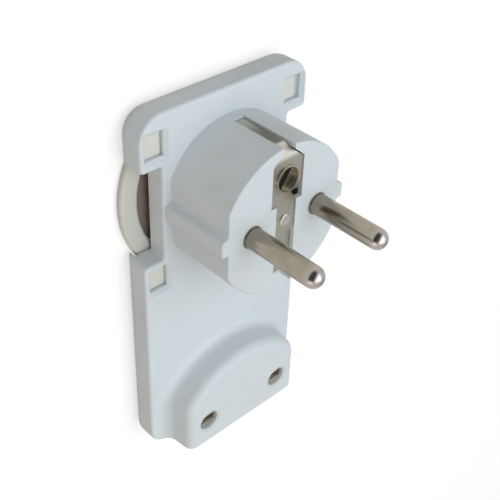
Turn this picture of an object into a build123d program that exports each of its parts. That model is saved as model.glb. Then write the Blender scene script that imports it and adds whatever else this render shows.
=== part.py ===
from build123d import *
import os

# Flat earthed plug, lying on its back: X across the pins, Y up the plate, Z along the pins.
# The origin is where the plug axis meets the rear face. All sizes are in millimetres.

# Contact pins
PIN_SPACING = 19.0
PIN_R = 2.4
PIN_REACH = 19.4
PIN_SEAT_R = 2.6
PIN_SEAT_RISE = 0.3
PIN_HEAD_R = 3.6
PIN_HEAD_LENGTH = 8.6
WIRE_HOLE_R = 1.5
WIRE_HOLE_DROP = 5.0

# Plate
PLATE_WIDTH = 47.0
PLATE_TOP = 23.8
PLATE_BOTTOM = 68.3
PLATE_DEPTH = 8.3
FRONT_WALL = 1.6
SIDE_WALL = 2.0
TOP_CORNER_R = 6.0
BOTTOM_CORNER_R = 4.1
FRONT_EDGE_R = 0.8
REAR_EDGE_R = 3.9

# Finger notches in the two long sides
NOTCH_CUT = 5.5
NOTCH_TOP = 11.4
NOTCH_BOTTOM = -12.2
NOTCH_WALL = 1.2
NOTCH_OUTER_R = 1.1
NOTCH_INNER_R = 0.7

# Nose
NOSE_R = 17.8
NOSE_HEIGHT = 18.0
NOSE_FLAT_CUT = 1.9
NOSE_CORNER_R = 0.8
NOSE_RIM_R = 0.45
NOSE_SIDE_WALL = 2.0
NOSE_FRONT_WALL = 6.0
GUIDE_RIB_WIDTH = 3.6
GUIDE_RIB_INSET = 0.1
GUIDE_RIB_FLARE = 0.7
GUIDE_RIB_CORNER_R = 0.6
EARTH_WALL_INSET = 5.9
EARTH_WALL_WIDTH = 11.8

# Pocket for the earth contacts in the nose
POCKET_WIDE = 8.8
POCKET_STEP_Y = 4.2
POCKET_TAPER_INSET = 3.6
POCKET_NECK_INSET = 1.2
POCKET_DEPTH = 3.9
UPPER_SLOT_WIDTH = 3.2
LOWER_SLOT_WIDTH = 5.7
SLOT_END = 2.8

# Earth contacts
STRIP_T = 0.8
STRIP_SINK = 0.3
STRIP_BEND_R = 3.0
UPPER_LIMB_INSET = 0.5
LOWER_LIMB_INSET = 1.4
STRIP_SIDE_GAP = 0.2
STRIP_HEAD_RIM = 0.3
STRIP_CLIP_RISE = 2.2
STRIP_CLIP_RUN = 1.45
STRIP_TAIL_END = -3.3
STRIP_OVERLAP = 2.2
RIVET_R = 0.9
RIVET_HEAD_R = 1.5
RIVET_HEAD_T = 0.4
RIVET_EDGE_R = 0.32

# Earth terminal
TERMINAL_Y = 10.0
TERMINAL_SQUARE = 7.4
TERMINAL_LENGTH = 8.4
NECK_R = 3.2
NECK_RISE = 0.4
NECK_WALL = 0.4
EARTH_SCREW_SINK = 1.2
EARTH_SCREW_LENGTH = 5.0
EARTH_SLOT_WIDTH = 1.6
EARTH_SLOT_ANGLE = 56.0
WIRE_ROOM_REACH = 6.2
WIRE_ROOM_FOOT = 1.6
WIRE_ROOM_SKIN = 1.2

# Cord boss
BOSS_ARCH = 4.4
BOSS_LENGTH = 24.1
BOSS_INSET = 4.7
BOSS_HEIGHT = 7.9
BOSS_TAPER = 5.5
BOSS_SHOULDER_R = 6.5
BOSS_FOOT_R = 2.6
BOSS_EDGE_R = 2.5
BOSS_RUN_ON = 6.0
BOSS_WALL = 2.2
CORD_R = 4.2
CORD_Z = 8.7

# Cover screws in the boss
COVER_SCREW_INSET = 7.2
COVER_SCREW_RISE = 6.9
COVER_BORE_R = 2.7
COVER_BORE_DEPTH = 5.6
COVER_BORE_CHAMFER = 0.5
COVER_TUBE_R = 4.2
COVER_SCREW_HEAD_R = 2.5
COVER_SCREW_HEAD_T = 1.9
COVER_SCREW_R = 1.45
COVER_SCREW_LENGTH = 8.0
COVER_POST_R = 3.4

# Cord clamp
CLAMP_WIDTH = 6.0
CLAMP_INNER_R = 3.8
CLAMP_T = 1.6
CLAMP_SCREW_X = 8.2
CLAMP_SCREW_R = 1.2
CLAMP_SCREW_HEAD_R = 2.2
CLAMP_SCREW_HEAD_T = 1.4
CLAMP_SCREW_LENGTH = 4.6
CLAMP_POST_R = 2.6
CLAMP_FLANGE_END = 2.4

# Wire screws of the pins
WIRE_SCREW_R = 1.6
WIRE_SCREW_HEAD_R = 2.7
WIRE_SCREW_HEAD_T = 1.6
WIRE_SCREW_LENGTH = 4.2

# Heads of all screws
SCREW_SLOT = 0.9
SCREW_EDGE_R = 0.6

# Rear cover
COVER_T = 3.2
COVER_THIN = 1.6
COVER_LEDGE_T = 0.9
COVER_LEDGE_INSET = 3.0
WIRE_WELL_R = 15.2
WIRE_WAY_WIDTH = 18.0
WIRE_WAY_RISE = 2.5

# Snap hooks and their windows
WINDOW_INSET = 4.0
WINDOW_WIDTH = 4.8
WINDOW_LENGTH = 5.9
WINDOW_CHAMFER = 0.8
WINDOW_YS = (16.6, -17.0)
HOOK_SINK = 1.8
HOOK_ARM = 2.2
HOOK_NOSE_T = 0.7
HOOK_LAP = 0.6
CATCH_REACH = 1.3

# Pull ring and its hinge
RING_OVERHANG = 1.2
RING_WIDTH = 4.6
RING_T = 2.0
RING_EDGE_R = 0.85
RING_LIFT = 0.3
HINGE_Y = 18.3
HINGE_PIN_R = 0.6
HINGE_PIN_INSET = 2.8
KNUCKLE_R = 1.05
HINGE_SLOT_INSET = 3.9
HINGE_SLOT_FOOT = 16.8

# Clearances
FIT = 0.03
COVER_GAP = 0.15
RING_GAP = 0.3
RING_SWING_GAP = 0.5
HINGE_GAP = 0.05
HOOK_GAP = 0.1
SCREW_GAP = 0.2

# How far a cutting shape runs past the face it cuts
CUT_PAST = 1.0

# Places and levels worked out from the sizes above
HALF_WIDTH = PLATE_WIDTH / 2
NOTCH_FLOOR_X = HALF_WIDTH - NOTCH_CUT
WINDOW_X = HALF_WIDTH - WINDOW_INSET
RING_OUTER_R = HALF_WIDTH + RING_OVERHANG
RING_INNER_R = RING_OUTER_R - RING_WIDTH
HINGE_PIN_LENGTH = PLATE_WIDTH - 2 * HINGE_PIN_INSET
BOSS_HALF = HALF_WIDTH - BOSS_INSET
BOSS_R = BOSS_HALF + BOSS_ARCH
BOSS_CENTRE_Y = BOSS_LENGTH - PLATE_BOTTOM - BOSS_R
COVER_SCREW_X = BOSS_HALF - COVER_SCREW_INSET
COVER_SCREW_Y = COVER_SCREW_RISE - PLATE_BOTTOM
CLAMP_Y = COVER_SCREW_Y + COVER_TUBE_R + SCREW_GAP + CLAMP_WIDTH / 2
NOSE_FLAT = NOSE_R - NOSE_FLAT_CUT
GUIDE_RIB_REACH = NOSE_R - GUIDE_RIB_INSET
EARTH_WALL_Y = NOSE_R - EARTH_WALL_INSET
POCKET_TAPER_Y = NOSE_R - POCKET_TAPER_INSET
POCKET_NECK_Y = NOSE_R - POCKET_NECK_INSET
UPPER_LIMB_Y = NOSE_R - UPPER_LIMB_INSET
LOWER_LIMB_Y = NOSE_R - LOWER_LIMB_INSET
EARTH_SCREW_R = NECK_R - NECK_WALL
NOSE_FRONT = PLATE_DEPTH + NOSE_HEIGHT
WALL_BACK = PLATE_DEPTH - FRONT_WALL
NOSE_CAVITY_END = NOSE_FRONT - NOSE_FRONT_WALL
BOSS_FRONT = PLATE_DEPTH + BOSS_HEIGHT
STRIP_FRONT = NOSE_FRONT - STRIP_SINK
STRIP_BACK = STRIP_FRONT - STRIP_T
LOWER_STRIP_BACK = STRIP_BACK - STRIP_T
UPPER_SLOT_FLOOR = UPPER_LIMB_Y - STRIP_T - FIT
LOWER_SLOT_FLOOR = LOWER_LIMB_Y - STRIP_T - FIT
NECK_TOP = STRIP_FRONT + NECK_RISE
HOOK_TOP = PLATE_DEPTH - HOOK_SINK
COVER_BORE_FLOOR = BOSS_FRONT - COVER_BORE_DEPTH
RING_Z = RING_LIFT + RING_T / 2
RING_POCKET_TOP = RING_LIFT + RING_T + RING_GAP
SIDES = {"left": -1, "right": 1}


def block(x, y, z):
    """Box between two limits on each axis."""
    size = (x[1] - x[0], y[1] - y[0], z[1] - z[0])
    centre = (sum(x) / 2, sum(y) / 2, sum(z) / 2)
    return Pos(*centre) * Box(*size)


def rod(radius, z, x=0.0, y=0.0):
    """Cylinder along Z between two heights."""
    return Pos(x, y, sum(z) / 2) * Cylinder(radius, z[1] - z[0])


def prism(sketch, z):
    """Sketch in the XY plane carried from one height to another."""
    return Pos(0, 0, z[0]) * extrude(sketch, z[1] - z[0])


def plate_outline(inset=0.0):
    """Plate outline, set in by a distance, with large corners at the top end."""
    half = HALF_WIDTH - inset
    top = PLATE_TOP - inset
    bottom = inset - PLATE_BOTTOM
    outline = Pos(0, (top + bottom) / 2) * Rectangle(2 * half, top - bottom)
    outline = fillet(outline.vertices().group_by(Axis.Y)[-1], TOP_CORNER_R - inset)
    return fillet(outline.vertices().group_by(Axis.Y)[0], BOTTOM_CORNER_R - inset)


def notch_rectangles(grow=0.0):
    """The two finger notches as rectangles that run out past the sides."""
    inner = NOTCH_FLOOR_X - grow
    length = NOTCH_TOP - NOTCH_BOTTOM + 2 * grow
    middle = (NOTCH_TOP + NOTCH_BOTTOM) / 2
    width = PLATE_WIDTH
    return [Pos(side * (inner + width / 2), middle) * Rectangle(width, length) for side in SIDES.values()]


def notched_outline():
    """Plate outline with both notches and their small corner radii."""
    outline = plate_outline()
    for notch in notch_rectangles():
        outline -= notch
    ends = [v for v in outline.vertices() if min(abs(v.Y - NOTCH_TOP), abs(v.Y - NOTCH_BOTTOM)) < FIT]
    outline = fillet([v for v in ends if abs(v.X) > NOTCH_FLOOR_X + FIT], NOTCH_OUTER_R)
    corners = [v for v in outline.vertices() if abs(abs(v.X) - NOTCH_FLOOR_X) < FIT]
    return fillet(corners, NOTCH_INNER_R)


def boss_outline(inset=0.0):
    """Arched outline of the cord boss, running on past the cord end of the plate."""
    arch = Pos(0, BOSS_CENTRE_Y) * Circle(BOSS_R - inset)
    outline = arch & Pos(0, BOSS_CENTRE_Y) * Rectangle(2 * (BOSS_HALF - inset), 2 * BOSS_R)
    upper = [v for v in outline.vertices() if v.Y > BOSS_CENTRE_Y]
    return fillet(upper, BOSS_SHOULDER_R)


def nose_outline():
    """Round nose with two side flats and a guide rib, flared at its upper side, on each flat."""
    outline = Circle(NOSE_R) & Rectangle(2 * NOSE_FLAT, 2 * NOSE_R)
    outline = fillet(outline.vertices(), NOSE_CORNER_R)
    crest = GUIDE_RIB_WIDTH / 2
    root = crest + GUIDE_RIB_FLARE
    rib = [(NOSE_FLAT, -crest), (GUIDE_RIB_REACH, -crest), (GUIDE_RIB_REACH, crest), (NOSE_FLAT, root)]
    other = [(-x, y) for x, y in reversed(rib)]
    outline += make_face(Polyline(*rib, *other, close=True))
    corners = [v for v in outline.vertices() if -crest - FIT < v.Y < root + FIT]
    return fillet(corners, GUIDE_RIB_CORNER_R)


def pocket_outline():
    """Front view of the earth pocket: wide head, taper to the upper slot, narrow lower run."""
    wide = POCKET_WIDE / 2
    slot = UPPER_SLOT_WIDTH / 2
    half = [
        (slot, NOSE_R + CUT_PAST),
        (slot, POCKET_NECK_Y),
        (wide, POCKET_TAPER_Y),
        (wide, POCKET_STEP_Y),
    ]
    other = [(-x, y) for x, y in reversed(half)]
    return make_face(Polyline(*half, *other, close=True))


def ring_pocket():
    """Space that the folded ring lies in, open to the rear, with room to swing out."""
    z = (-CUT_PAST, RING_POCKET_TOP)
    pocket = rod(RING_OUTER_R + RING_SWING_GAP, z) - rod(RING_INNER_R - RING_GAP, z)
    top = HINGE_Y + KNUCKLE_R + RING_GAP
    pocket -= block((-PLATE_WIDTH, PLATE_WIDTH), (top, PLATE_WIDTH), z)
    half = HALF_WIDTH - HINGE_SLOT_INSET
    return pocket + block((-half, half), (HINGE_SLOT_FOOT, top), z)


def plate_body():
    """Plate carried up past the boss, with its rear edge rounded all the way round."""
    body = prism(plate_outline(), (0, BOSS_FRONT))
    return fillet(body.edges().group_by(Axis.Z)[0], REAR_EDGE_R)


def outer_shell():
    """Outside of the housing: plate, notches and boss, all edges rounded."""
    end = -PLATE_BOTTOM - BOSS_RUN_ON
    across = (-HALF_WIDTH, HALF_WIDTH)
    boss = Pos(0, 0, WALL_BACK) * extrude(boss_outline(), BOSS_FRONT - WALL_BACK, taper=BOSS_TAPER)
    boss &= block(across, (end, 0), (0, BOSS_FRONT))
    shell = block(across, (end, PLATE_TOP), (0, PLATE_DEPTH)) + boss

    def inside(edge):
        box = edge.bounding_box()
        return box.max.Y < PLATE_TOP - FIT and max(-box.min.X, box.max.X) < HALF_WIDTH - FIT

    def leaves_end(edge):
        return inside(edge) and edge.bounding_box().max.Y > end + FIT

    foot = [e for e in shell.edges() if leaves_end(e) and abs(e.bounding_box().max.Z - PLATE_DEPTH) < FIT]
    shell = fillet(foot, BOSS_FOOT_R)
    crown = [e for e in shell.edges().group_by(Axis.Z)[-1] if leaves_end(e)]
    shell = fillet(crown, BOSS_EDGE_R)
    shell &= plate_body()
    shell &= prism(notched_outline(), (0, BOSS_FRONT))
    upright = [face for face in shell.faces() if round(face.normal_at().Z, 3) == 0]
    rim = [e for face in upright for e in face.edges() if e.bounding_box().min.Z > PLATE_DEPTH - FIT]
    return fillet(rim, FRONT_EDGE_R)


def nose_cavity():
    """Room inside the nose for the pin heads, between the walls that carry the earth limbs."""
    inside = Circle(NOSE_R - NOSE_SIDE_WALL) & Rectangle(2 * (NOSE_FLAT - NOSE_SIDE_WALL), 2 * NOSE_R)
    for end in (-1, 1):
        inside -= Pos(0, end * (EARTH_WALL_Y + NOSE_R / 2)) * Rectangle(EARTH_WALL_WIDTH, NOSE_R)
    for side in SIDES.values():
        inside += Pos(side * PIN_SPACING / 2, 0) * Circle(PIN_HEAD_R + SCREW_GAP)
    return prism(inside, (0, NOSE_CAVITY_END))


def plate_cavity():
    """Room inside the plate: it leaves a wall round each notch that ends just above the cover."""
    inside = prism(plate_outline(SIDE_WALL), (-CUT_PAST, WALL_BACK))
    for notch in notch_rectangles(NOTCH_WALL):
        inside -= prism(notch, (COVER_T + HOOK_GAP, WALL_BACK))
    return inside


def boss_cavity():
    """Room inside the cord boss."""
    inside = prism(boss_outline(BOSS_WALL), (0, BOSS_FRONT - BOSS_WALL))
    return inside & block((-PLATE_WIDTH, PLATE_WIDTH), (SIDE_WALL - PLATE_BOTTOM, 0), (0, BOSS_FRONT))


def earth_pocket():
    """Pocket and slots in the nose that the earth contacts lie in."""
    beyond = NOSE_R + CUT_PAST
    above = NOSE_FRONT + CUT_PAST
    upper_x = (-UPPER_SLOT_WIDTH / 2, UPPER_SLOT_WIDTH / 2)
    lower_x = (-LOWER_SLOT_WIDTH / 2, LOWER_SLOT_WIDTH / 2)
    slot_z = (PLATE_DEPTH + SLOT_END, above)
    bend_y = STRIP_BEND_R + STRIP_SIDE_GAP - LOWER_LIMB_Y
    bend_z = STRIP_BACK - STRIP_BEND_R - STRIP_SIDE_GAP
    cut = prism(pocket_outline(), (NOSE_FRONT - POCKET_DEPTH, above))
    cut += block(lower_x, (-beyond, POCKET_STEP_Y), (LOWER_STRIP_BACK, above))
    cut += block(lower_x, (-beyond, bend_y), (bend_z, above))
    cut += block(upper_x, (UPPER_SLOT_FLOOR, beyond), slot_z)
    return cut + block(lower_x, (-beyond, -LOWER_SLOT_FLOOR), slot_z)


def terminal_hole():
    """Way through the nose wall that keeps the earth terminal from turning, with room for its wire."""
    half = TERMINAL_SQUARE / 2 + HOOK_GAP
    foot = STRIP_BACK - TERMINAL_LENGTH - HOOK_GAP
    hole = block((-half, half), (POCKET_STEP_Y, TERMINAL_Y + half), (foot, NOSE_FRONT - POCKET_DEPTH))
    room_z = (NOSE_CAVITY_END, NOSE_FRONT - WIRE_ROOM_SKIN)
    return hole + block((0, WIRE_ROOM_REACH), (WIRE_ROOM_FOOT, TERMINAL_Y), room_z)


def catch(side, y):
    """Ledge on the side wall that a snap hook grips."""
    wall = HALF_WIDTH - SIDE_WALL
    top = HOOK_TOP - HOOK_NOSE_T - HOOK_GAP
    x = sorted((side * (wall - CATCH_REACH), side * (wall + SIDE_WALL / 2)))
    return block(x, (y - WINDOW_LENGTH / 2, y + WINDOW_LENGTH / 2), (COVER_T + HOOK_GAP, top))


def front_housing():
    """Plate, nose and cord boss in one moulding, open at the back."""
    body = outer_shell()
    nose = prism(nose_outline(), (WALL_BACK, NOSE_FRONT))
    body += fillet(nose.edges().group_by(Axis.Z)[-1], NOSE_RIM_R)
    body -= plate_cavity()
    body -= nose_cavity()
    body -= boss_cavity()
    for side in SIDES.values():
        body += rod(COVER_TUBE_R, (WALL_BACK, BOSS_FRONT - BOSS_WALL), side * COVER_SCREW_X, COVER_SCREW_Y)
        body += rod(CLAMP_POST_R, (CORD_Z, BOSS_FRONT - BOSS_WALL), side * CLAMP_SCREW_X, CLAMP_Y)
        for y in WINDOW_YS:
            body += catch(side, y)
            window = Rectangle(WINDOW_WIDTH, WINDOW_LENGTH)
            body -= Pos(side * WINDOW_X, y, 0) * prism(window, (HOOK_TOP, PLATE_DEPTH + CUT_PAST))
            edge = extrude(window, WINDOW_CHAMFER, taper=-45)
            body -= Pos(side * WINDOW_X, y, PLATE_DEPTH - WINDOW_CHAMFER) * edge
    for side in SIDES.values():
        screw_x = side * COVER_SCREW_X
        body -= rod(COVER_BORE_R, (COVER_BORE_FLOOR, BOSS_FRONT + CUT_PAST), screw_x, COVER_SCREW_Y)
        mouth = Cone(COVER_BORE_R, COVER_BORE_R + COVER_BORE_CHAMFER, COVER_BORE_CHAMFER)
        body -= Pos(screw_x, COVER_SCREW_Y, BOSS_FRONT - COVER_BORE_CHAMFER / 2) * mouth
        body -= rod(COVER_SCREW_R + SCREW_GAP, (0, BOSS_FRONT), screw_x, COVER_SCREW_Y)
        clamp_top = CORD_Z + CLAMP_SCREW_LENGTH - CLAMP_T + HOOK_GAP
        body -= rod(CLAMP_SCREW_R + FIT, (CORD_Z, clamp_top), side * CLAMP_SCREW_X, CLAMP_Y)
        body -= rod(PIN_SEAT_R + FIT, (NOSE_CAVITY_END, NOSE_FRONT + CUT_PAST), side * PIN_SPACING / 2)
    body -= Pos(0, -PLATE_BOTTOM, CORD_Z) * Rot(90, 0, 0) * Cylinder(CORD_R, 3 * SIDE_WALL)
    body -= earth_pocket()
    body -= terminal_hole()
    body -= rod(RIVET_R + FIT, (NOSE_CAVITY_END, NOSE_FRONT))
    return body - ring_pocket()


def hook(side, y):
    """Snap hook of the rear cover: an arm with a nose that grips the side wall's ledge."""
    inner = WINDOW_X - WINDOW_WIDTH / 2 - HOOK_LAP
    outer = HALF_WIDTH - SIDE_WALL - COVER_GAP
    length = WINDOW_LENGTH / 2 + HOOK_LAP
    span = (y - length, y + length)
    arm_x = sorted((side * inner, side * (inner + HOOK_ARM)))
    nose_x = sorted((side * inner, side * outer))
    arm = block(arm_x, span, (COVER_T, HOOK_TOP))
    return arm + block(nose_x, span, (HOOK_TOP - HOOK_NOSE_T, HOOK_TOP))


def rear_cover():
    """Flat back with the ring's pocket, four snap hooks, two screw posts and a thin ledge at each notch."""
    outline = plate_outline(SIDE_WALL + COVER_GAP)
    cover = prism(outline, (0, COVER_T)) & plate_body()
    for notch in notch_rectangles():
        cover -= prism(notch, (-CUT_PAST, COVER_T + CUT_PAST))
    for side in SIDES.values():
        ledge_x = sorted((side * (NOTCH_FLOOR_X - COVER_LEDGE_INSET), side * HALF_WIDTH))
        cover -= block(ledge_x, (NOTCH_BOTTOM, NOTCH_TOP), (COVER_LEDGE_T, COVER_T + CUT_PAST))
    cover -= rod(WIRE_WELL_R, (COVER_THIN, COVER_T + CUT_PAST))
    way_top = -RING_OUTER_R - RING_SWING_GAP - NOTCH_WALL
    half = WIRE_WAY_WIDTH / 2
    cover -= block((-half, half), (WIRE_WAY_RISE - PLATE_BOTTOM, way_top), (COVER_THIN, COVER_T + CUT_PAST))
    hooks = [hook(side, y) for side in SIDES.values() for y in WINDOW_YS]
    for one in hooks:
        cover += one & prism(outline, (0, HOOK_TOP))
    for side in SIDES.values():
        screw_x = side * COVER_SCREW_X
        cover += rod(COVER_POST_R, (COVER_THIN, WALL_BACK), screw_x, COVER_SCREW_Y)
        cover -= rod(COVER_SCREW_R + FIT, (COVER_THIN, WALL_BACK + CUT_PAST), screw_x, COVER_SCREW_Y)
    cover -= ring_pocket()
    return cover - hinge_rod(HINGE_PIN_R + FIT, HINGE_PIN_LENGTH + 2 * FIT)


def hinge_rod(radius, length):
    """Cylinder along the ring's hinge line."""
    return Pos(0, HINGE_Y, RING_Z) * Rot(0, 90, 0) * Cylinder(radius, length)


def pull_ring():
    """Flat ring with rounded edges, closed at the top by a knuckle on the hinge line."""
    middle = (RING_OUTER_R + RING_INNER_R) / 2
    section = RectangleRounded(RING_OUTER_R - RING_INNER_R, RING_T, RING_EDGE_R)
    ring = revolve(Plane.XZ * Pos(middle, RING_Z) * section, Axis.Z)
    far = 2 * RING_OUTER_R
    ring -= block((-far, far), (HINGE_Y, far), (-far, far))
    half = (RING_OUTER_R**2 - HINGE_Y**2) ** 0.5
    ring += hinge_rod(KNUCKLE_R, 2 * half)
    return ring - hinge_rod(HINGE_PIN_R + HINGE_GAP, 4 * half)


def contact_pin(x):
    """Turned pin: round end, shank, a slightly wider seat and a drilled head for the wire."""
    foot = NOSE_CAVITY_END - PIN_HEAD_LENGTH
    tip = NOSE_FRONT + PIN_REACH
    pin = rod(PIN_R, (NOSE_CAVITY_END, tip))
    pin = fillet(pin.edges().group_by(Axis.Z)[-1], PIN_R - FIT)
    pin += rod(PIN_SEAT_R, (NOSE_CAVITY_END, NOSE_FRONT + PIN_SEAT_RISE))
    pin += rod(PIN_HEAD_R, (foot, NOSE_CAVITY_END))
    wire_z = foot + WIRE_HOLE_DROP
    pin -= Pos(0, 0, wire_z) * Rot(90, 0, 0) * Cylinder(WIRE_HOLE_R, 3 * PIN_HEAD_R)
    pin -= rod(WIRE_SCREW_R + FIT, (foot - CUT_PAST, wire_z))
    return Pos(x, 0, 0) * pin


def screw(radius, length, head_r, head_t):
    """Slotted screw with its head's seat at the origin, the shank running down Z."""
    head = rod(head_r, (0, head_t))
    head = fillet(head.edges().group_by(Axis.Z)[-1], SCREW_EDGE_R)
    head -= block((-head_r, head_r), (-SCREW_SLOT / 2, SCREW_SLOT / 2), (head_t / 2, head_t + CUT_PAST))
    return head + rod(radius, (-length, 0))


def bent_strip(tail_end, limb, front, width):
    """Strip across the nose front that bends back over its upper rim to run along it."""
    back = front - STRIP_T
    foot = PLATE_DEPTH + SLOT_END + STRIP_SIDE_GAP
    outer = (limb, front)
    inner = (limb - STRIP_T, back)
    points = [(tail_end, front), outer, (limb, foot), (limb - STRIP_T, foot), inner, (tail_end, back)]
    profile = make_face(Polyline(*points, close=True))
    profile = fillet([v for v in profile.vertices() if v.Y > back and v.X > limb - FIT], STRIP_BEND_R)
    bend = [v for v in profile.vertices() if abs(v.X - inner[0]) < FIT and abs(v.Y - back) < FIT]
    profile = fillet(bend, STRIP_BEND_R - STRIP_T)
    return extrude(Plane.YZ * profile, width / 2, both=True)


def earth_contact_upper():
    """Strip with a wide head, one clipped corner, a tapered bend, a narrow limb and a tail."""
    wide = POCKET_WIDE / 2 - STRIP_SIDE_GAP
    slot = UPPER_SLOT_WIDTH / 2 - STRIP_SIDE_GAP
    tail = LOWER_SLOT_WIDTH / 2 - STRIP_SIDE_GAP
    step = POCKET_STEP_Y + STRIP_SIDE_GAP
    clip = step + STRIP_CLIP_RISE
    neck = POCKET_NECK_Y - STRIP_SIDE_GAP
    taper = POCKET_TAPER_Y - STRIP_SIDE_GAP
    right = [(slot, NOSE_R), (slot, neck), (wide, taper), (wide, clip)]
    corner = [(tail - STRIP_CLIP_RUN, clip), (tail, step)]
    foot = [(tail, STRIP_TAIL_END), (-tail, STRIP_TAIL_END)]
    left = [(-tail, step), (-wide, step), (-wide, taper), (-slot, neck), (-slot, NOSE_R)]
    plan = make_face(Polyline(*right, *corner, *foot, *left, close=True))
    plan += Pos(0, TERMINAL_Y) * Circle(NECK_R + STRIP_HEAD_RIM)
    strip = bent_strip(STRIP_TAIL_END, UPPER_LIMB_Y, STRIP_FRONT, POCKET_WIDE)
    outline = prism(plan, (NOSE_FRONT - POCKET_DEPTH + STRIP_SIDE_GAP, NOSE_FRONT))
    outline += block((-slot, slot), (0, NOSE_R), (0, NOSE_FRONT))
    strip &= outline
    strip -= rod(NECK_R + FIT, (STRIP_BACK - CUT_PAST, NOSE_FRONT), 0, TERMINAL_Y)
    return strip - rod(RIVET_R + FIT, (STRIP_BACK - CUT_PAST, NOSE_FRONT))


def earth_contact_lower():
    """Plain strip under the upper one's tail, bent back over the lower rim of the nose."""
    width = LOWER_SLOT_WIDTH - 2 * STRIP_SIDE_GAP
    strip = mirror(bent_strip(-STRIP_OVERLAP, LOWER_LIMB_Y, STRIP_BACK, width), Plane.XZ)
    return strip - rod(RIVET_R + FIT, (0, NOSE_FRONT))


def earth_rivet():
    """Rivet through both strips and the nose wall, with a head at each end."""
    rivet = rod(RIVET_R, (NOSE_CAVITY_END, STRIP_FRONT))
    head = rod(RIVET_HEAD_R, (STRIP_FRONT, STRIP_FRONT + RIVET_HEAD_T))
    rivet += fillet(head.edges().group_by(Axis.Z)[-1], RIVET_EDGE_R)
    return rivet + rod(RIVET_HEAD_R, (NOSE_CAVITY_END - RIVET_HEAD_T, NOSE_CAVITY_END))


def earth_terminal_block():
    """Square pillar with a round neck that stands out of the strip, drilled for wire and screw."""
    half = TERMINAL_SQUARE / 2
    foot = STRIP_BACK - TERMINAL_LENGTH
    y = (TERMINAL_Y - half, TERMINAL_Y + half)
    pillar = block((-half, half), y, (foot, STRIP_BACK))
    pillar += rod(NECK_R, (STRIP_BACK, NECK_TOP), 0, TERMINAL_Y)
    wire_z = foot + WIRE_HOLE_R + STRIP_T
    pillar -= Pos(0, TERMINAL_Y, wire_z) * Rot(90, 0, 0) * Cylinder(WIRE_HOLE_R, 2 * TERMINAL_SQUARE)
    return pillar - rod(EARTH_SCREW_R + FIT, (wire_z, NECK_TOP + CUT_PAST), 0, TERMINAL_Y)


def earth_terminal_screw():
    """Slotted set screw inside the neck of the earth terminal."""
    top = NECK_TOP - EARTH_SCREW_SINK
    body = rod(EARTH_SCREW_R, (-EARTH_SCREW_LENGTH, 0))
    far = 2 * EARTH_SCREW_R
    body -= block((-far, far), (-EARTH_SLOT_WIDTH / 2, EARTH_SLOT_WIDTH / 2), (-EARTH_SLOT_WIDTH, CUT_PAST))
    return Pos(0, TERMINAL_Y, top) * Rot(0, 0, EARTH_SLOT_ANGLE) * body


def cord_clamp():
    """Saddle with two flanges that presses the cord into the boss."""
    outer = CLAMP_INNER_R + CLAMP_T
    reach = CLAMP_SCREW_X + CLAMP_FLANGE_END
    profile = Circle(outer) + Pos(0, -CLAMP_T / 2) * Rectangle(2 * reach, CLAMP_T)
    profile -= Circle(CLAMP_INNER_R)
    profile -= Pos(0, outer) * Rectangle(2 * reach, 2 * outer)
    saddle = Pos(0, CLAMP_Y, CORD_Z) * extrude(Plane.XZ * profile, CLAMP_WIDTH / 2, both=True)
    for side in SIDES.values():
        saddle -= rod(CLAMP_SCREW_R + SCREW_GAP, (0, CORD_Z + CUT_PAST), side * CLAMP_SCREW_X, CLAMP_Y)
    return saddle


def save(shape, node):
    """Write one node's solid."""
    export_step(shape, f"parts/{node}.step")


def main():
    """Build every piece and write it under its node name."""
    os.makedirs("parts", exist_ok=True)
    save(front_housing(), "front_housing")
    save(rear_cover(), "rear_cover")
    save(pull_ring(), "pull_ring")
    save(hinge_rod(HINGE_PIN_R, HINGE_PIN_LENGTH), "ring_hinge_pin")
    save(earth_contact_upper(), "earth_contact_upper")
    save(earth_contact_lower(), "earth_contact_lower")
    save(earth_rivet(), "earth_rivet")
    save(earth_terminal_block(), "earth_terminal_block")
    save(earth_terminal_screw(), "earth_terminal_screw")
    save(cord_clamp(), "cord_clamp")
    cover_screw = screw(COVER_SCREW_R, COVER_SCREW_LENGTH, COVER_SCREW_HEAD_R, COVER_SCREW_HEAD_T)
    clamp_screw = screw(CLAMP_SCREW_R, CLAMP_SCREW_LENGTH, CLAMP_SCREW_HEAD_R, CLAMP_SCREW_HEAD_T)
    wire_screw = screw(WIRE_SCREW_R, WIRE_SCREW_LENGTH, WIRE_SCREW_HEAD_R, WIRE_SCREW_HEAD_T)
    upside_down = Rot(180, 0, 0)
    for name, side in SIDES.items():
        pin_x = side * PIN_SPACING / 2
        save(contact_pin(pin_x), f"{name}_pin")
        pin_foot = NOSE_CAVITY_END - PIN_HEAD_LENGTH
        save(Pos(pin_x, 0, pin_foot) * upside_down * wire_screw, f"{name}_terminal_screw")
        cover_at = Pos(side * COVER_SCREW_X, COVER_SCREW_Y, COVER_BORE_FLOOR)
        save(cover_at * cover_screw, f"{name}_cover_screw")
        clamp_at = Pos(side * CLAMP_SCREW_X, CLAMP_Y, CORD_Z - CLAMP_T)
        save(clamp_at * upside_down * clamp_screw, f"{name}_clamp_screw")


if __name__ == "__main__":
    main()
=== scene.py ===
"""Looks of a flat earthed plug that lies on its back: finishes, thin webs, floor, light and camera."""

import logging
from dataclasses import dataclass, field
from enum import Enum

import bmesh
import bpy
from mathutils import Matrix, Vector


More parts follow.
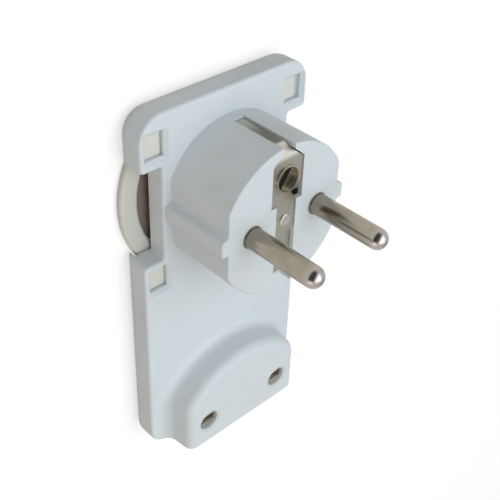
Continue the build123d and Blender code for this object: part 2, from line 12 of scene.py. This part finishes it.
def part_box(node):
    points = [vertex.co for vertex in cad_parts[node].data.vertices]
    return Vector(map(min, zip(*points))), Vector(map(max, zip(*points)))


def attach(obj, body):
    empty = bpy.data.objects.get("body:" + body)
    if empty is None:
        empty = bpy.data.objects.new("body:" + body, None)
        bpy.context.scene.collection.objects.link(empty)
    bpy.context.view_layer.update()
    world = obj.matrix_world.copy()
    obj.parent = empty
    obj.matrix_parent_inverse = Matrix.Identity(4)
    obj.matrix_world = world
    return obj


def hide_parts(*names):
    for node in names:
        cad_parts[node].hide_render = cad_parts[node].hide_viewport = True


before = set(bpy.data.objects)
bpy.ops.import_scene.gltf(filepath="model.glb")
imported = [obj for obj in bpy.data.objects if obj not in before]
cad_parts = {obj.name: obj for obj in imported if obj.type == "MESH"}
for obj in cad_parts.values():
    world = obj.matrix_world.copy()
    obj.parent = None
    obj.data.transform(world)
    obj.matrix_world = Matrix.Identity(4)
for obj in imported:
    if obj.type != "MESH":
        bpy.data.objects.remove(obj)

log = logging.getLogger("flat_plug")
MM = 0.001

# Socket numbers of the Mix node, whose inputs share their names.
FACTOR = 0
NUMBER_A = 2
NUMBER_B = 3
COLOUR_A = 6
COLOUR_B = 7
COLOUR_OUT = 2


def linear(hex_colour: str) -> tuple[float, float, float, float]:
    """Turn an sRGB hex colour into linear light.

    Args:
        hex_colour: Colour as "#rrggbb".

    Returns:
        Linear red, green, blue and an alpha of 1.
    """
    # The sRGB curve has a straight foot and a power above it.
    channels = [int(hex_colour[i : i + 2], 16) / 255 for i in (1, 3, 5)]
    light = [c / 12.92 if c <= 0.04045 else ((c + 0.055) / 1.055) ** 2.4 for c in channels]
    return (*light, 1.0)


def add_node(tree: bpy.types.NodeTree, kind: str, inputs: dict | None = None, **settings) -> bpy.types.Node:
    """Add one shader node with its settings, values and links.

    Args:
        tree: Node tree that gets the node.
        kind: Type name of the node, without its "ShaderNode".
        inputs: Input name or number to a value, or to an output socket to link.
        settings: Plain properties of the node.

    Returns:
        The new node.
    """
    node = tree.nodes.new("ShaderNode" + kind)
    for name, value in settings.items():
        setattr(node, name, value)
    for name, value in (inputs or {}).items():
        if isinstance(value, bpy.types.NodeSocket):
            tree.links.new(value, node.inputs[name])
        else:
            node.inputs[name].default_value = value
    return node


class Finish:
    """Base of all finishes: makes the material once and hands out the same one afterwards."""

    name: str

    def material(self) -> bpy.types.Material:
        """Give the finish as a material, built on first use."""
        made = bpy.data.materials.get(self.name)
        if made is None:
            made = bpy.data.materials.new(self.name)
            made.use_nodes = True
            made.node_tree.nodes.clear()
            self.fill(made.node_tree)
        return made

    def fill(self, tree: bpy.types.NodeTree) -> None:
        """Add the finish's nodes to an empty tree."""
        raise NotImplementedError


@dataclass(frozen=True)
class MouldedPlastic(Finish):
    """ABS moulded in a spark-eroded tool: an even satin skin.

    The eye gets a soft wide highlight broken by a fine grain, slow changes of tone where the
    melt flowed, patches that handling has polished, and a few duller ones with a trace of soil.
    """

    name: str
    colour: str
    flow_colour: str
    roughness: float
    # The tool's real grain is about 0.05 mm; it is drawn coarser so that it shows.
    grain_mm: float = 0.35
    grain_depth_mm: float = 0.004
    flow_mm: float = 16.0
    handling_mm: float = 7.0
    polished_at: float = 0.3
    dull_at: float = 0.7
    polish: float = 0.07
    dulling: float = 0.05
    soil: str = "#cbc4ba"
    soil_share: float = 0.12
    soiled_from: float = 0.52
    soiled_to: float = 0.72
    ior: float = 1.53

    def fill(self, tree: bpy.types.NodeTree) -> None:
        """Add the grain, flow and handling nodes."""
        place = add_node(tree, "TexCoord").outputs["Object"]
        grain = add_node(
            tree,
            "TexNoise",
            {"Vector": place, "Scale": 1 / (self.grain_mm * MM), "Detail": 2.0, "Roughness": 0.6},
        )
        flow = add_node(
            tree,
            "TexNoise",
            {"Vector": place, "Scale": 1 / (self.flow_mm * MM), "Detail": 3.0, "Distortion": 0.6},
        )
        handling = add_node(
            tree, "TexNoise", {"Vector": place, "Scale": 1 / (self.handling_mm * MM), "Detail": 4.0}
        )
        tone = add_node(
            tree,
            "Mix",
            {
                FACTOR: flow.outputs["Fac"],
                COLOUR_A: linear(self.colour),
                COLOUR_B: linear(self.flow_colour),
            },
            data_type="RGBA",
        )
        film = add_node(
            tree,
            "MapRange",
            {
                "Value": handling.outputs["Fac"],
                "From Min": self.soiled_from,
                "From Max": self.soiled_to,
                "To Max": self.soil_share,
            },
            interpolation_type="SMOOTHSTEP",
        )
        tone = add_node(
            tree,
            "Mix",
            {
                FACTOR: film.outputs["Result"],
                COLOUR_A: tone.outputs[COLOUR_OUT],
                COLOUR_B: linear(self.soil),
            },
            data_type="RGBA",
        )
        gloss = add_node(
            tree,
            "MapRange",
            {
                "Value": handling.outputs["Fac"],
                "From Min": self.polished_at,
                "From Max": self.dull_at,
                "To Min": self.roughness - self.polish,
                "To Max": self.roughness + self.dulling,
            },
        )
        bump = add_node(tree, "Bump", {"Height": grain.outputs["Fac"], "Distance": self.grain_depth_mm * MM})
        shader = add_node(
            tree,
            "BsdfPrincipled",
            {
                "Base Color": tone.outputs[COLOUR_OUT],
                "Roughness": gloss.outputs["Result"],
                "IOR": self.ior,
                "Normal": bump.outputs["Normal"],
            },
        )
        add_node(tree, "OutputMaterial", {"Surface": shader.outputs["BSDF"]})


class Tooling(Enum):
    """How a metal piece was made; the value is the axis along which its fine marks are spaced."""

    TURNED = "Z"
    ROLLED = "X"
    TUMBLED = ""


@dataclass(frozen=True)
class PlatedMetal(Finish):
    """Plated metal whose tool marks show through the plate.

    The eye gets streaked reflections from the marks and a thin film of tarnish that darkens and
    dulls the plate in patches. Where sockets have rubbed it, it is paler and finely scuffed.
    """

    name: str
    colour: str
    tarnish: str
    roughness: float
    tooling: Tooling
    # Real marks are about 0.05 mm apart; they are drawn coarser so that they show.
    mark_mm: float = 0.3
    mark_depth_mm: float = 0.002
    tarnish_mm: float = 4.0
    tarnished_from: float = 0.35
    tarnished_to: float = 0.75
    bright: float = 0.06
    dulling: float = 0.08
    # Sockets rub the plate above this height; zero means nowhere.
    rubbed_from_mm: float = 0.0
    rubbed_run_mm: float = 3.0
    rubbed: str = "#aea8a2"
    rubbed_roughness: float = 0.29

    def fill(self, tree: bpy.types.NodeTree) -> None:
        """Add the tool mark and tarnish nodes."""
        place = add_node(tree, "TexCoord").outputs["Object"]
        scale = 1 / (self.mark_mm * MM)
        if self.tooling is Tooling.TUMBLED:
            marks = add_node(tree, "TexNoise", {"Vector": place, "Scale": scale, "Detail": 2.0})
        else:
            across = add_node(tree, "SeparateXYZ", {"Vector": place}).outputs[self.tooling.value]
            marks = add_node(
                tree, "TexNoise", {"W": across, "Scale": scale, "Detail": 2.0}, noise_dimensions="1D"
            )
        film = add_node(
            tree,
            "TexNoise",
            {"Vector": place, "Scale": 1 / (self.tarnish_mm * MM), "Detail": 4.0, "Roughness": 0.6},
        )
        patch = add_node(
            tree,
            "MapRange",
            {
                "Value": film.outputs["Fac"],
                "From Min": self.tarnished_from,
                "From Max": self.tarnished_to,
            },
        )
        tone = add_node(
            tree,
            "Mix",
            {
                FACTOR: patch.outputs["Result"],
                COLOUR_A: linear(self.colour),
                COLOUR_B: linear(self.tarnish),
            },
            data_type="RGBA",
        )
        if self.rubbed_from_mm:
            height = add_node(tree, "SeparateXYZ", {"Vector": place}).outputs["Z"]
            rub = add_node(
                tree,
                "MapRange",
                {
                    "Value": height,
                    "From Min": self.rubbed_from_mm * MM,
                    "From Max": (self.rubbed_from_mm + self.rubbed_run_mm) * MM,
                },
                interpolation_type="SMOOTHSTEP",
            )
            tone = add_node(
                tree,
                "Mix",
                {
                    FACTOR: rub.outputs["Result"],
                    COLOUR_A: tone.outputs[COLOUR_OUT],
                    COLOUR_B: linear(self.rubbed),
                },
                data_type="RGBA",
            )
        gloss = add_node(
            tree,
            "MapRange",
            {
                "Value": film.outputs["Fac"],
                "To Min": self.roughness - self.bright,
                "To Max": self.roughness + self.dulling,
            },
        )
        if self.rubbed_from_mm:
            gloss = add_node(
                tree,
                "Mix",
                {
                    FACTOR: rub.outputs["Result"],
                    NUMBER_A: gloss.outputs["Result"],
                    NUMBER_B: self.rubbed_roughness,
                },
            )
        bump = add_node(tree, "Bump", {"Height": marks.outputs["Fac"], "Distance": self.mark_depth_mm * MM})
        shader = add_node(
            tree,
            "BsdfPrincipled",
            {
                "Base Color": tone.outputs[COLOUR_OUT],
                "Metallic": 1.0,
                "Roughness": gloss.outputs[0],
                "Normal": bump.outputs["Normal"],
            },
        )
        add_node(tree, "OutputMaterial", {"Surface": shader.outputs["BSDF"]})


@dataclass(frozen=True)
class PaintedShadeBoard(Finish):
    """Dull brown sheet with a fine fleck, used as painted shade where a gap lies only in shade."""

    name: str
    colour: str
    fleck: str
    fleck_mm: float = 0.8
    fleck_depth_mm: float = 0.01
    roughness: float = 0.8
    ior: float = 1.5

    def fill(self, tree: bpy.types.NodeTree) -> None:
        """Add the fleck nodes."""
        place = add_node(tree, "TexCoord").outputs["Object"]
        fleck = add_node(
            tree,
            "TexNoise",
            {"Vector": place, "Scale": 1 / (self.fleck_mm * MM), "Detail": 4.0, "Roughness": 0.7},
        )
        tone = add_node(
            tree,
            "Mix",
            {
                FACTOR: fleck.outputs["Fac"],
                COLOUR_A: linear(self.colour),
                COLOUR_B: linear(self.fleck),
            },
            data_type="RGBA",
        )
        bump = add_node(tree, "Bump", {"Height": fleck.outputs["Fac"], "Distance": self.fleck_depth_mm * MM})
        shader = add_node(
            tree,
            "BsdfPrincipled",
            {
                "Base Color": tone.outputs[COLOUR_OUT],
                "Roughness": self.roughness,
                "IOR": self.ior,
                "Normal": bump.outputs["Normal"],
            },
        )
        add_node(tree, "OutputMaterial", {"Surface": shader.outputs["BSDF"]})


# Housing: white ABS with a little blue, as it left the tool, which reads as a cool soft white.
WHITE_ABS = MouldedPlastic("white_abs_satin", "#d4dbde", "#cfd7db", 0.55)
# Cover, webs and clamp: cream ABS, a little smoother, which looks warm beside the housing.
CREAM_ABS = MouldedPlastic("cream_abs_satin", "#dad9cf", "#d3d2c8", 0.5)
# Ring: the same cream ABS, a little greyer and darker than on the cover.
RING_ABS = MouldedPlastic("cream_abs_greyer", "#d0cfc6", "#c8c7be", 0.5)
# Pins: brass turned on a lathe and nickel plated, so fine rings streak the light along the pin.
PIN_NICKEL = PlatedMetal(
    "nickel_on_turned_brass", "#a0988a", "#918979", 0.21, Tooling.TURNED, rubbed_from_mm=41.6
)
# Rivet: brass headed cold, nickel plated and tumbled, which leaves it pale and matt.
RIVET_NICKEL = PlatedMetal("nickel_on_headed_brass", "#c9c7bd", "#bab7ab", 0.42, Tooling.TUMBLED)
# Earth strips and terminal: rolled brass with dull nickel, streaked along the rolling direction.
ROLLED_NICKEL = PlatedMetal("nickel_on_rolled_brass", "#c7c4b9", "#b7b3a6", 0.3, Tooling.ROLLED)
# Cover screws: brass without a plate, gone dull and greyish yellow deep in their holes.
BARE_BRASS = PlatedMetal("tarnished_brass", "#c3b9a8", "#a69b8a", 0.45, Tooling.TUMBLED)
# Inner screws and hinge pin: steel with barrel-plated zinc, an even soft grey.
ZINC_STEEL = PlatedMetal("zinc_plated_steel", "#b5b2a9", "#98948a", 0.35, Tooling.TUMBLED)
# Earth screw: plain steel under a film of oil, darker and smoother than the zinc.
OILED_STEEL = PlatedMetal("oiled_screw_steel", "#a49b8c", "#857c6e", 0.3, Tooling.TUMBLED)
# Shade sheets in the notches: painted shade, a dull brown sheet that darkens the shaded gap beside the ring.
PAINTED_SHADE_FINISH = PaintedShadeBoard("painted_shade_brown", "#8f8276", "#7d7065")


@dataclass
class SubAssembly:
    """Pieces that are made and fitted together, each with its finish."""

    finishes: dict[str, Finish]

    def build(self) -> None:
        """Make the sub-assembly's own meshes, where it has any."""

    def fit(self, name: str, shape: bmesh.types.BMesh, finish: Finish, slot: str) -> bpy.types.Object:
        """Turn a finished bmesh into a piece that rides on the plug.

        Args:
            name: Name of the piece.
            shape: Mesh in the plug's own frame; it is freed here.
            finish: What the piece is made of.
            slot: Material slot of the record that it belongs to; not used.

        Returns:
            The new piece.
        """
        bmesh.ops.recalc_face_normals(shape, faces=shape.faces[:])
        mesh = bpy.data.meshes.new(name)
        shape.to_mesh(mesh)
        shape.free()
        mesh.materials.append(finish.material())
        piece = bpy.data.objects.new(name, mesh)
        bpy.context.scene.collection.objects.link(piece)
        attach(piece, "plug")
        log.info("%s: %s", name, finish.name)
        return piece

    def dress(self) -> None:
        """Give every CAD node of the sub-assembly its finish."""
        for node, finish in self.finishes.items():
            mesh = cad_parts[node].data
            mesh.materials.clear()
            mesh.materials.append(finish.material())
            log.info("%s: %s", node, finish.name)


@dataclass
class Housing(SubAssembly):
    """Front moulding with the plate, the nose and the cord boss."""

    finishes: dict[str, Finish] = field(default_factory=lambda: {"front_housing": WHITE_ABS})


@dataclass
class BackAndRing(SubAssembly):
    """Rear cover, pull ring and hinge pin, with a web behind the ring in each notch and a brown sheet of
    painted shade on the web.
    """

    finishes: dict[str, Finish] = field(
        default_factory=lambda: {"rear_cover": CREAM_ABS, "pull_ring": RING_ABS, "ring_hinge_pin": ZINC_STEEL}
    )
    web_radius_mm: float = 19.95
    web_foot_mm: float = 17.9
    web_t_mm: float = 0.9
    # The brown sheets on the webs are painted shade for the shaded gap beside the ring.
    shade_sheet_radius_mm: float = 19.98
    shade_sheet_foot_mm: float = 15.1
    shade_sheet_ends_mm: tuple[float, float] = (-12.1, 11.3)
    shade_sheet_t_mm: float = 0.15
    segments: int = 192

    def disc_part(
        self, radius: float, low: float, high: float, cuts: list[tuple[Vector, Vector]]
    ) -> bmesh.types.BMesh:
        """Make a flat slice of a disc round the middle axis.

        Args:
            radius: Radius of the disc.
            low: Height of its underside.
            high: Height of its top.
            cuts: Point and outward normal of each straight cut.

        Returns:
            The slice as a closed bmesh.
        """
        shape = bmesh.new()
        bmesh.ops.create_circle(
            shape,
            cap_ends=True,
            segments=self.segments,
            radius=radius,
            matrix=Matrix.Translation((0, 0, low)),
        )
        for point, outward in cuts:
            bmesh.ops.bisect_plane(
                shape,
                geom=shape.verts[:] + shape.edges[:] + shape.faces[:],
                plane_co=point,
                plane_no=outward,
                clear_outer=True,
            )
        raised = bmesh.ops.extrude_face_region(shape, geom=shape.faces[:])["geom"]
        top = [part for part in raised if isinstance(part, bmesh.types.BMVert)]
        bmesh.ops.translate(shape, verts=top, vec=(0, 0, high - low))
        return shape

    def build(self) -> None:
        """Close each notch behind the ring with a web, and lay a brown sheet of painted shade on it."""
        floor = self.web_t_mm * MM
        for name, side in (("left", -1), ("right", 1)):
            inward = Vector((-side, 0, 0))
            web = self.disc_part(
                self.web_radius_mm * MM, 0, floor, [(-inward * self.web_foot_mm * MM, inward)]
            )
            self.fit(f"notch_web_{name}", web, CREAM_ABS, "cream_plastic")
            cuts = [(-inward * self.shade_sheet_foot_mm * MM, inward)]
            for end in self.shade_sheet_ends_mm:
                cuts.append((Vector((0, end * MM, 0)), Vector((0, end, 0)).normalized()))
            # Painted shade: a brown sheet that darkens the gap beside the ring, which is only in shade.
            shade_sheet = self.disc_part(self.shade_sheet_radius_mm * MM, floor, floor + self.shade_sheet_t_mm * MM, cuts)
            self.fit(f"notch_shade_sheet_{name}", shade_sheet, PAINTED_SHADE_FINISH, "cream_plastic")


@dataclass
class ContactPins(SubAssembly):
    """The two turned pins with the wire screws in their heads."""

    finishes: dict[str, Finish] = field(
        default_factory=lambda: {
            "left_pin": PIN_NICKEL,
            "right_pin": PIN_NICKEL,
            "left_terminal_screw": ZINC_STEEL,
            "right_terminal_screw": ZINC_STEEL,
        }
    )


@dataclass
class EarthContact(SubAssembly):
    """Both earth strips, the rivet that joins them, and the terminal with its screw."""

    finishes: dict[str, Finish] = field(
        default_factory=lambda: {
            "earth_contact_upper": ROLLED_NICKEL,
            "earth_contact_lower": ROLLED_NICKEL,
            "earth_rivet": RIVET_NICKEL,
            "earth_terminal_block": ROLLED_NICKEL,
            "earth_terminal_screw": OILED_STEEL,
        }
    )


@dataclass
class CordGrip(SubAssembly):
    """Saddle inside the boss that holds the lead, with its two screws."""

    finishes: dict[str, Finish] = field(
        default_factory=lambda: {
            "cord_clamp": CREAM_ABS,
            "left_clamp_screw": ZINC_STEEL,
            "right_clamp_screw": ZINC_STEEL,
        }
    )


@dataclass
class CoverScrews(SubAssembly):
    """The two cheese-head screws in the boss, each with an open slot across its head."""

    finishes: dict[str, Finish] = field(
        default_factory=lambda: {"left_cover_screw": BARE_BRASS, "right_cover_screw": BARE_BRASS}
    )
    shank_r_mm: float = 1.45
    shank_mm: float = 8.0
    head_r_mm: float = 2.5
    head_mm: float = 4.4
    slot_width_mm: float = 0.9
    slot_depth_mm: float = 1.3
    edge_mm: float = 0.35
    edge_segments: int = 4
    segments: int = 64

    def half_head(self, shape: bmesh.types.BMesh, side: int, low: float, high: float) -> None:
        """Add the part of the head on one side of the slot.

        Args:
            shape: Mesh that gets the half.
            side: -1 or 1, the side of the slot along Y.
            low: Height of the slot's floor.
            high: Height of the head's top.
        """
        half = bmesh.new()
        bmesh.ops.create_circle(half, cap_ends=True, segments=self.segments, radius=self.head_r_mm * MM)
        bmesh.ops.bisect_plane(
            half,
            geom=half.verts[:] + half.edges[:] + half.faces[:],
            plane_co=(0, side * self.slot_width_mm / 2 * MM, 0),
            plane_no=(0, -side, 0),
            clear_outer=True,
        )
        raised = bmesh.ops.extrude_face_region(half, geom=half.faces[:])["geom"]
        top = [part for part in raised if isinstance(part, bmesh.types.BMVert)]
        bmesh.ops.translate(half, verts=top, vec=(0, 0, high - low))
        rim = [edge for edge in half.edges if all(vert in top for vert in edge.verts)]
        bmesh.ops.bevel(
            half,
            geom=rim,
            offset=self.edge_mm * MM,
            offset_type="OFFSET",
            affect="EDGES",
            segments=self.edge_segments,
            profile=0.5,
            material=-1,
        )
        bmesh.ops.translate(half, verts=half.verts[:], vec=(0, 0, low))
        part = bpy.data.meshes.new("half_head")
        half.to_mesh(part)
        half.free()
        shape.from_mesh(part)
        bpy.data.meshes.remove(part)

    def build(self) -> None:
        """Make a detailed screw for each CAD screw, at the same place."""
        for node in self.finishes:
            low, high = (Vector(corner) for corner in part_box(node))
            seat = low.z + self.shank_mm * MM
            top = seat + self.head_mm * MM
            slot_floor = top - self.slot_depth_mm * MM
            shape = bmesh.new()
            for radius, foot, roof in (
                (self.shank_r_mm * MM, low.z, seat),
                (self.head_r_mm * MM, seat, slot_floor),
            ):
                bmesh.ops.create_cone(
                    shape,
                    cap_ends=True,
                    segments=self.segments,
                    radius1=radius,
                    radius2=radius,
                    depth=roof - foot,
                    matrix=Matrix.Translation((0, 0, (foot + roof) / 2)),
                )
            for side in (-1, 1):
                self.half_head(shape, side, slot_floor, top)
            middle = (low + high) / 2
            bmesh.ops.translate(shape, verts=shape.verts[:], vec=(middle.x, middle.y, 0))
            screw = self.fit(f"{node}_slotted", shape, BARE_BRASS, "screw_steel")
            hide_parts(node)


@dataclass
class Studio:
    """Floor, soft light, three cards and the camera at the photograph's viewing angle."""

    floor_half: float = 2.0
    floor_colour: str = "#b8b6b3"
    floor_lift: float = 0.6
    fill_level: float = 0.37
    fill_colour: str = "#fff4ea"
    seen_colour: str = "#f6f6f6"
    key_at: tuple[float, float, float] = (0.0, 0.24, 0.97)
    key_size: float = 1.2
    key_power: float = 9.4
    key_colour: str = "#eef8ff"
    side_at: tuple[float, float, float] = (-0.88, -0.42, 0.33)
    side_size: float = 0.6
    side_power: float = 1.25
    side_colour: str = "#ffebd9"
    near_card_half: float = 1.0
    near_card_at: tuple[float, float, float] = (-0.42, 0.46, 0.12)
    near_card_colour: str = "#1d1719"
    far_card_half: float = 0.35
    far_card_at: tuple[float, float, float] = (0.56, -0.60, 0.56)
    far_card_colour: str = "#bcbcba"
    # The low card lies on the floor, where the earth strip in the top of the nose mirrors it.
    low_card_half: float = 0.0115
    low_card_at: tuple[float, float, float] = (0.019, 0.0385, 0.0005)
    low_card_colour: str = "#5d5750"
    eye_mm: tuple[float, float, float] = (-116.129, 110.844, 133.458)
    forward: tuple[float, float, float] = (0.56137, -0.60248, -0.56735)
    right: tuple[float, float, float] = (0.72740, 0.03228, 0.68545)
    lens_mm: float = 66.322
    sensor_mm: float = 36.0
    clip_start: float = 0.005

    def sheet(self, name: str, half: float, place: Matrix) -> bpy.types.Object:
        """Make one flat square that belongs to the studio.

        Args:
            name: Name of the square.
            half: Half its side in metres.
            place: Where it goes.

        Returns:
            The new object, without a material.
        """
        mesh = bpy.data.meshes.new(name)
        shape = bmesh.new()
        bmesh.ops.create_grid(shape, x_segments=1, y_segments=1, size=half, matrix=place)
        shape.to_mesh(mesh)
        shape.free()
        obj = bpy.data.objects.new(name, mesh)
        bpy.context.scene.collection.objects.link(obj)
        return obj

    def seen_directly(self, tree: bpy.types.NodeTree) -> bpy.types.NodeSocket:
        """Give 1 for rays that show the background: camera, glossy and transmission rays."""
        path = add_node(tree, "LightPath").outputs
        seen = add_node(
            tree, "Math", {0: path["Is Camera Ray"], 1: path["Is Glossy Ray"]}, operation="MAXIMUM"
        )
        seen = add_node(
            tree, "Math", {0: seen.outputs[0], 1: path["Is Transmission Ray"]}, operation="MAXIMUM"
        )
        return seen.outputs[0]

    def floor(self) -> None:
        """Lay a pale paper floor that looks white and keeps the shadow."""
        obj = self.sheet("floor", self.floor_half, Matrix())
        material = bpy.data.materials.new("pale_paper")
        material.use_nodes = True
        tree = material.node_tree
        tree.nodes.clear()
        lift = add_node(
            tree, "Math", {0: self.seen_directly(tree), 1: self.floor_lift}, operation="MULTIPLY"
        )
        paper = add_node(tree, "BsdfDiffuse", {"Color": linear(self.floor_colour)})
        glow = add_node(tree, "Emission", {"Strength": lift.outputs[0]})
        both = add_node(tree, "AddShader", {0: paper.outputs[0], 1: glow.outputs[0]})
        add_node(tree, "OutputMaterial", {"Surface": both.outputs[0]})
        obj.data.materials.append(material)

    def card(
        self, name: str, at: tuple[float, float, float], half: float, colour: str, lies: bool = False
    ) -> None:
        """Set up a card that only reflections see, so that metal has something dark to mirror.

        Args:
            name: Name of the card.
            at: Where its middle is.
            half: Half its side in metres.
            colour: How bright it looks.
            lies: Whether it lies flat, instead of facing the plug.
        """
        middle = Vector(at)
        place = Matrix.Translation(middle)
        if not lies:
            place = place @ middle.to_track_quat("Z", "Y").to_matrix().to_4x4()
        obj = self.sheet(name, half, place)
        material = bpy.data.materials.new(name)
        material.use_nodes = True
        tree = material.node_tree
        tree.nodes.clear()
        face = add_node(tree, "Emission", {"Color": linear(colour)})
        add_node(tree, "OutputMaterial", {"Surface": face.outputs[0]})
        obj.data.materials.append(material)
        obj.visible_camera = False
        obj.visible_diffuse = False
        obj.visible_shadow = False
        obj.visible_transmission = False

    def world(self) -> None:
        """Fill light from all round, white where the camera and reflections see it."""
        world = bpy.data.worlds.new("studio")
        world.use_nodes = True
        tree = world.node_tree
        tree.nodes.clear()
        seen = self.seen_directly(tree)
        level = add_node(tree, "MapRange", {"Value": seen, "To Min": self.fill_level})
        tint = add_node(
            tree,
            "Mix",
            {FACTOR: seen, COLOUR_A: linear(self.fill_colour), COLOUR_B: linear(self.seen_colour)},
            data_type="RGBA",
        )
        sky = add_node(
            tree, "Background", {"Color": tint.outputs[COLOUR_OUT], "Strength": level.outputs[0]}
        )
        add_node(tree, "OutputWorld", {"Surface": sky.outputs[0]})
        bpy.context.scene.world = world

    def lamp(self, name: str, at: tuple[float, float, float], size: float, power: float, colour: str) -> None:
        """Hang a square soft lamp that points at the plug.

        Args:
            name: Name of the lamp.
            at: Where it hangs, in metres.
            size: Side of the square in metres.
            power: Power in watts.
            colour: Colour of its light.
        """
        light = bpy.data.lights.new(name, "AREA")
        light.shape = "SQUARE"
        light.size = size
        light.energy = power
        light.color = linear(colour)[:3]
        obj = bpy.data.objects.new(name, light)
        obj.location = at
        obj.rotation_euler = (-Vector(at)).to_track_quat("-Z", "Y").to_euler()
        bpy.context.scene.collection.objects.link(obj)

    def camera(self) -> None:
        """Set the camera that gives the photograph's view."""
        forward = Vector(self.forward).normalized()
        right = Vector(self.right)
        right = (right - forward * right.dot(forward)).normalized()
        turn = Matrix((right, right.cross(forward), -forward)).transposed()
        data = bpy.data.cameras.new("camera")
        data.lens = self.lens_mm
        data.sensor_width = self.sensor_mm
        data.clip_start = self.clip_start
        obj = bpy.data.objects.new("camera", data)
        obj.matrix_world = Matrix.Translation(Vector(self.eye_mm) * MM) @ turn.to_4x4()
        bpy.context.scene.collection.objects.link(obj)
        bpy.context.scene.camera = obj

    def build(self) -> None:
        """Make the floor, the light and the camera."""
        bpy.context.scene.view_settings.view_transform = "Standard"
        self.floor()
        self.card("near_card", self.near_card_at, self.near_card_half, self.near_card_colour)
        self.card("far_card", self.far_card_at, self.far_card_half, self.far_card_colour)
        self.card("low_card", self.low_card_at, self.low_card_half, self.low_card_colour, lies=True)
        self.world()
        self.lamp("key_lamp", self.key_at, self.key_size, self.key_power, self.key_colour)
        self.lamp("side_lamp", self.side_at, self.side_size, self.side_power, self.side_colour)
        self.camera()


def main() -> None:
    """Build and dress every sub-assembly, then the studio."""
    logging.basicConfig(level=logging.INFO)
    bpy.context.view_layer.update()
    for assembly in (Housing(), BackAndRing(), ContactPins(), EarthContact(), CordGrip(), CoverScrews()):
        assembly.build()
        assembly.dress()
    Studio().build()


if __name__ == "__main__":
    main()
